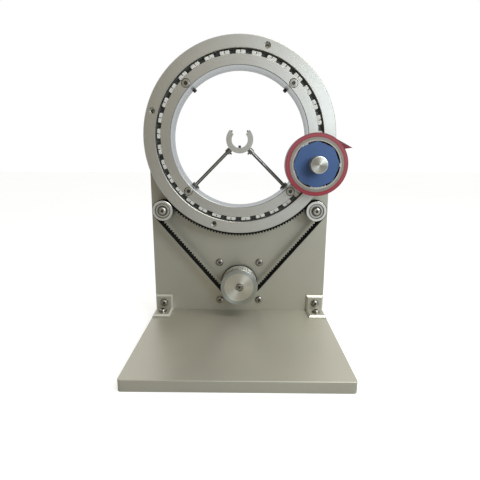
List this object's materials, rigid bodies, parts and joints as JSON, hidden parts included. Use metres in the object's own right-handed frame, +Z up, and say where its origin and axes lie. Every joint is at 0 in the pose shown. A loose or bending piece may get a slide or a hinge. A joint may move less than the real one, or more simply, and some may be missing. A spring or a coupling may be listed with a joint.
{
  "type": "ribbon winder",
  "caption": "Bench tape winding machine: belt-driven slewing ring on an upright plate carries a spool of tape round work held in a central open rest.",
  "frame": {"origin": "on the underside of the base plate, below the middle of the upright plate's front face", "axes": "+Z up, +X to the machine's right seen from the front, +Y from the spool side through the ring towards the motor"},
  "size_m": [0.3238, 0.331, 0.4658],
  "materials": {
    "anodised_plate": "satin anodised",
    "turned_aluminium": "satin, turned",
    "bright_steel": "bright",
    "black_steel": "black oxide",
    "slide_polymer": "matt",
    "belt_rubber": "matt",
    "motor_black": "satin black paint",
    "motor_casting": "cast, clear",
    "socket_plastic": "matt",
    "hub_plastic": "satin moulded",
    "tape_film": "satin film",
    "core_board": "raw cardboard"
  },
  "bodies": {
    "machine": {"base_plate": "anodised_plate", "upright_plate": "anodised_plate", "bracket_left": "anodised_plate", "bracket_right": "anodised_plate", "bracket_washers": "bright_steel", "bracket_screws": "bright_steel", "bearing_spacer": "turned_aluminium", "bearing_inner_ring": "turned_aluminium", "inner_ring_screws": "bright_steel", "slide_pads": "slide_polymer", "work_rest": "turned_aluminium", "guide_rod_left": "bright_steel", "guide_rod_right": "bright_steel", "rod_collars": "bright_steel", "collar_screws": "black_steel", "rod_feet": "bright_steel", "foot_screws": "black_steel", "rest_grub_screw": "black_steel", "horn_grub_screws": "black_steel", "bore_grub_screws": "black_steel", "drive_belt": "belt_rubber", "motor_front_cap": "motor_casting", "motor_bearing": "bright_steel", "motor_stack": "motor_black", "motor_rear_cap": "motor_casting", "motor_socket": "socket_plastic", "motor_screws": "bright_steel", "motor_nuts": "bright_steel", "idler_post_left": "bright_steel", "idler_post_right": "bright_steel", "idler_screws": "bright_steel"},
    "ring": {"bearing_outer_ring": "turned_aluminium", "spool_arm": "turned_aluminium", "arm_screws": "bright_steel", "spool_spindle": "bright_steel", "brake_washer": "bright_steel", "brake_spring": "bright_steel"},
    "spool": {"spool_hub": "hub_plastic", "tape_core": "core_board", "tape_roll": "tape_film", "tape_tab": "tape_film"},
    "knob": {"tension_knob": "turned_aluminium"},
    "pulley": {"drive_pulley": "turned_aluminium", "pulley_flange_front": "turned_aluminium", "pulley_flange_rear": "turned_aluminium", "pulley_screw": "bright_steel", "motor_shaft": "bright_steel"},
    "idler_left": {"idler_wheel_left": "turned_aluminium", "idler_bearings_left": "bright_steel"},
    "idler_right": {"idler_wheel_right": "turned_aluminium", "idler_bearings_right": "bright_steel"}
  },
  "joints": [
    {"name": "ring_spin", "type": "hinge", "parent": "machine", "child": "ring", "pos_m": [0, -0.0185, 0.3143], "axis": [0, 1, 0], "continuous": true, "deforming": ["drive_belt"]},
    {"name": "pulley_spin", "type": "hinge", "parent": "machine", "child": "pulley", "pos_m": [0, -0.02, 0.0703], "axis": [0, 1, 0], "continuous": true},
    {"name": "idler_left_spin", "type": "hinge", "parent": "machine", "child": "idler_left", "pos_m": [-0.12549, -0.02, 0.19999], "axis": [0, 1, 0], "continuous": true},
    {"name": "idler_right_spin", "type": "hinge", "parent": "machine", "child": "idler_right", "pos_m": [0.12549, -0.02, 0.19999], "axis": [0, 1, 0], "continuous": true},
    {"name": "spool_spin", "type": "hinge", "parent": "ring", "child": "spool", "pos_m": [0.11766, -0.047, 0.27516], "axis": [0, 1, 0], "continuous": true},
    {"name": "tension_knob_turn", "type": "hinge", "parent": "ring", "child": "knob", "pos_m": [0.11766, -0.068, 0.27516], "axis": [0, 1, 0], "range_deg": [-180, 180]}
  ],
  "couplings": [
    {"joint": "pulley_spin", "follows": "ring_spin", "ratio": -5.34},
    {"joint": "idler_left_spin", "follows": "ring_spin", "ratio": -9.31},
    {"joint": "idler_right_spin", "follows": "ring_spin", "ratio": -9.31}
  ]
}
